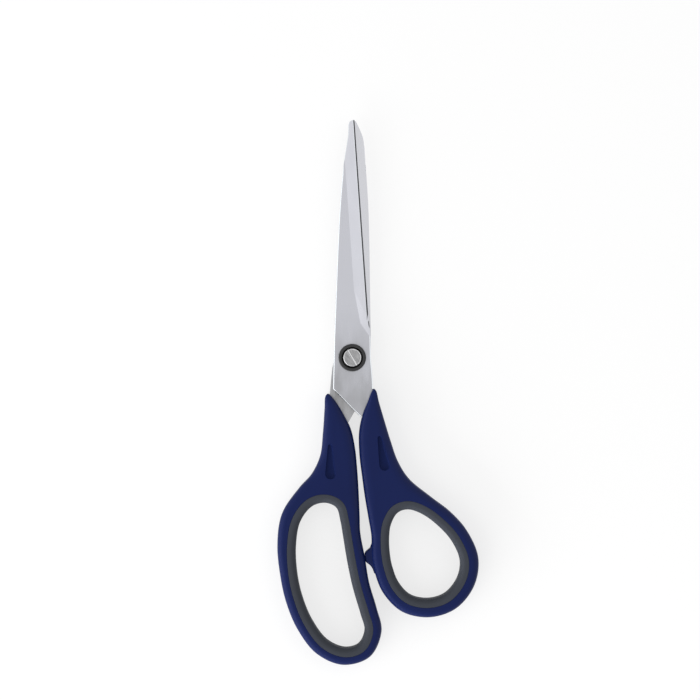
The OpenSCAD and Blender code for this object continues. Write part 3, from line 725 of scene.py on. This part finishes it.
def shade_slot_sides(material, share):
    """Paints shade on the slot's floor: darkens it to a share of its colour towards the slot's two sides,
    which its walls shade.
    """
    shader = material.node_tree.nodes["Principled BSDF"]
    colour = shader.inputs["Base Color"].links[0].from_node
    place = node(material, "ShaderNodeTexCoord")
    across = node(material, "ShaderNodeVectorMath", [(0, place, "Object")], operation="DOT_PRODUCT")
    across.inputs[1].default_value = SLOT_ACROSS
    off_axis = node(material, "ShaderNodeMath", [(0, across, "Value")], operation="SUBTRACT")
    off_axis.inputs[1].default_value = PIVOT.dot(SLOT_ACROSS)
    away = node(material, "ShaderNodeMath", [(0, off_axis, "Value")], operation="ABSOLUTE")
    side = node(material, "ShaderNodeMapRange", [("Value", away, "Value")], interpolation_type="SMOOTHSTEP",
                **{"From Min": 0.15 * SLOT_WIDTH, "From Max": 0.425 * SLOT_WIDTH,
                   "To Min": 1.0, "To Max": share})
    scaled = node(material, "ShaderNodeVectorMath", [(0, colour, "Result"), ("Scale", side, "Result")],
                  operation="SCALE")
    material.node_tree.links.new(scaled.outputs["Vector"], shader.inputs["Base Color"])


# Painted shade towards the slot's walls, over the slot floor's painted highlight
shade_slot_sides(slot_light_steel, share=0.35)

pivot_screw = broken_copy("pivot_screw_slotted", "pivot_screw", (head_steel, edge_highlight_steel, slot_light_steel),
                          slotted=True)
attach(pivot_screw, "finger_half")
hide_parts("pivot_screw")

pivot_nut = broken_copy("pivot_nut_hexagon", "pivot_nut", (nut_steel, nut_steel))
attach(pivot_nut, "finger_half")
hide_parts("pivot_nut")

black_plastic = satin_plastic("black_satin_plastic", (0.027, 0.027, 0.028), roughness=0.5, gloss=0.3)
# The recess black is painted shade: far darker than the washer's own black
recess_shade_plastic = satin_plastic("black_recess_painted_shade", (0.006, 0.006, 0.006), roughness=0.7, gloss=0.1)

# The cup washer's half section as radius and height in millimetres: its sleeve, its rim with a rolled edge,
# and its seat. Its inside, which starts at the point CUP_RECESS, lies in the shade of the screw's head.
CUP_SECTION = [(2.02, 4.85), (2.52, 4.85), (2.52, 6.6), (5.25, 6.6), (5.37, 6.66), (5.4, 6.8), (5.4, 7.85),
               (5.34, 8.08), (5.18, 8.24), (4.97, 8.3), (4.58, 8.3), (4.36, 8.24), (4.19, 8.1), (4.1, 7.9),
               (4.1, 7.4), (2.02, 7.4)]
FLAT_SECTION = [(2.02, 2.9), (2.02, 2.2), (5.25, 2.2), (5.4, 2.35), (5.4, 2.75), (5.25, 2.9)]
CUP_RECESS = 12
WASHER_SIDES = 96
# The numbers of a washer's two plastics: on its faces, and in its recess, painted darker as shade
OPEN, RECESS = 0, 1


def turned_washer(name, section, recess=math.inf):
    """A washer turned from its half section, with a duller black from the point recess of the section on,
    painted darker as shade.
    """
    body = bmesh.new()
    rings = [[body.verts.new(placed(r * math.cos(a), r * math.sin(a), z))
              for a in np.linspace(0, 2 * math.pi, WASHER_SIDES, endpoint=False)] for r, z in section]
    for k, ring in enumerate(rings):
        bridge(body, ring, rings[(k + 1) % len(rings)], RECESS if k >= recess else OPEN)
    bmesh.ops.recalc_face_normals(body, faces=body.faces)
    made = new_piece(name)
    finish_piece(made, body, [black_plastic, recess_shade_plastic], smooth_below=46)
    return made


front_washer = turned_washer("front_washer_cup", CUP_SECTION, recess=CUP_RECESS)
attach(front_washer, "finger_half")
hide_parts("front_washer")

rear_washer = turned_washer("rear_washer_flat", FLAT_SECTION)
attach(rear_washer, "finger_half")
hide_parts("rear_washer")

# ---------------------------------------------------------------- table, light and camera
# A plain pale table top, a soft white room, a large soft lamp on each side and a low one in front on the
# left. The camera looks straight down. The table glows a little for the camera and in reflections, so that
# it is near white and keeps its shadow.

TABLE_CORNERS = [(-3, -3, 0), (3, -3, 0), (3, 3, 0), (-3, 3, 0)]
GLOW_STRENGTH = 1.1
GLOW_SHARE = 0.65
ROOM_LIGHT = 0.53

table_mesh = bpy.data.meshes.new("table_top")
table_mesh.from_pydata(TABLE_CORNERS, [], [(0, 1, 2, 3)])
table_top = bpy.data.objects.new("table_top", table_mesh)
bpy.context.scene.collection.objects.link(table_top)
table_finish, table_shader = finish_of("pale_table", (0.9, 0.9, 0.9), Roughness=0.8, Specular_IOR_Level=0.1)
table_mesh.materials.append(table_finish)


def seen_rays(tree):
    """1 for camera, glossy and transmission rays, and 0 for the rays that carry light to diffuse surfaces."""
    rays, total = tree.nodes.new("ShaderNodeLightPath"), None
    for output in ("Is Camera Ray", "Is Glossy Ray", "Is Transmission Ray"):
        if total is None:
            total = rays.outputs[output]
            continue
        larger = tree.nodes.new("ShaderNodeMath")
        larger.operation = "MAXIMUM"
        tree.links.new(total, larger.inputs[0])
        tree.links.new(rays.outputs[output], larger.inputs[1])
        total = larger.outputs["Value"]
    return total


glow = node(table_finish, "ShaderNodeEmission", Color=(1, 1, 1, 1), Strength=GLOW_STRENGTH)
glow_share = node(table_finish, "ShaderNodeMath", operation="MULTIPLY")
table_finish.node_tree.links.new(seen_rays(table_finish.node_tree), glow_share.inputs[0])
glow_share.inputs[1].default_value = GLOW_SHARE
table_mix = node(table_finish, "ShaderNodeMixShader", [("Fac", glow_share, "Value")])
table_links = table_finish.node_tree.links
table_links.new(table_shader.outputs["BSDF"], table_mix.inputs[1])
table_links.new(glow.outputs["Emission"], table_mix.inputs[2])
table_end = table_finish.node_tree.nodes["Material Output"]
table_links.new(table_mix.outputs["Shader"], table_end.inputs["Surface"])

room = bpy.data.worlds.new("soft_room")
bpy.context.scene.world = room
room.use_nodes = True
background = room.node_tree.nodes["Background"]
background.inputs["Color"].default_value = (1, 1, 1, 1)
strength = room.node_tree.nodes.new("ShaderNodeMapRange")
strength.inputs["To Min"].default_value = ROOM_LIGHT
strength.inputs["To Max"].default_value = 1.0
room.node_tree.links.new(seen_rays(room.node_tree), strength.inputs["Value"])
room.node_tree.links.new(strength.outputs["Result"], background.inputs["Strength"])

# Each lamp's name, power in watts, place and size. The low one lights what is matt, and nothing mirrors it.
LAMPS = [("left", 6.5, (-0.95, -0.45, 0.6), (1.8, 1.2)), ("right", 2.2, (0.8, 0.5, 0.85), (1.8, 1.2)),
         ("low", 18.0, (-0.8, -0.8, 0.22), (1.6, 0.5))]
for side, power, place, size in LAMPS:
    lamp_data = bpy.data.lights.new("soft_lamp_" + side, "AREA")
    lamp_data.shape = "RECTANGLE"
    lamp_data.size, lamp_data.size_y = size
    lamp_data.energy = power
    lamp = bpy.data.objects.new("soft_lamp_" + side, lamp_data)
    bpy.context.scene.collection.objects.link(lamp)
    lamp.location = place
    lamp.rotation_euler = (Vector((0, 0, 0)) - lamp.location).to_track_quat("-Z", "Y").to_euler()
    lamp.visible_glossy = side != "low"

CAMERA_HEIGHT, VIEW_WIDTH = 1.0, 0.2766
VIEW_OFFSET = (-0.0009, 0.003)
camera_data = bpy.data.cameras.new("camera")
camera_data.lens = camera_data.sensor_width * (CAMERA_HEIGHT - HANDLE_THICKNESS / 2000) / VIEW_WIDTH
camera = bpy.data.objects.new("camera", camera_data)
bpy.context.scene.collection.objects.link(camera)
camera.location = (PIVOT.x + VIEW_OFFSET[0], PIVOT.y + VIEW_OFFSET[1], CAMERA_HEIGHT)
bpy.context.scene.camera = camera
bpy.context.scene.view_settings.view_transform = "Standard"
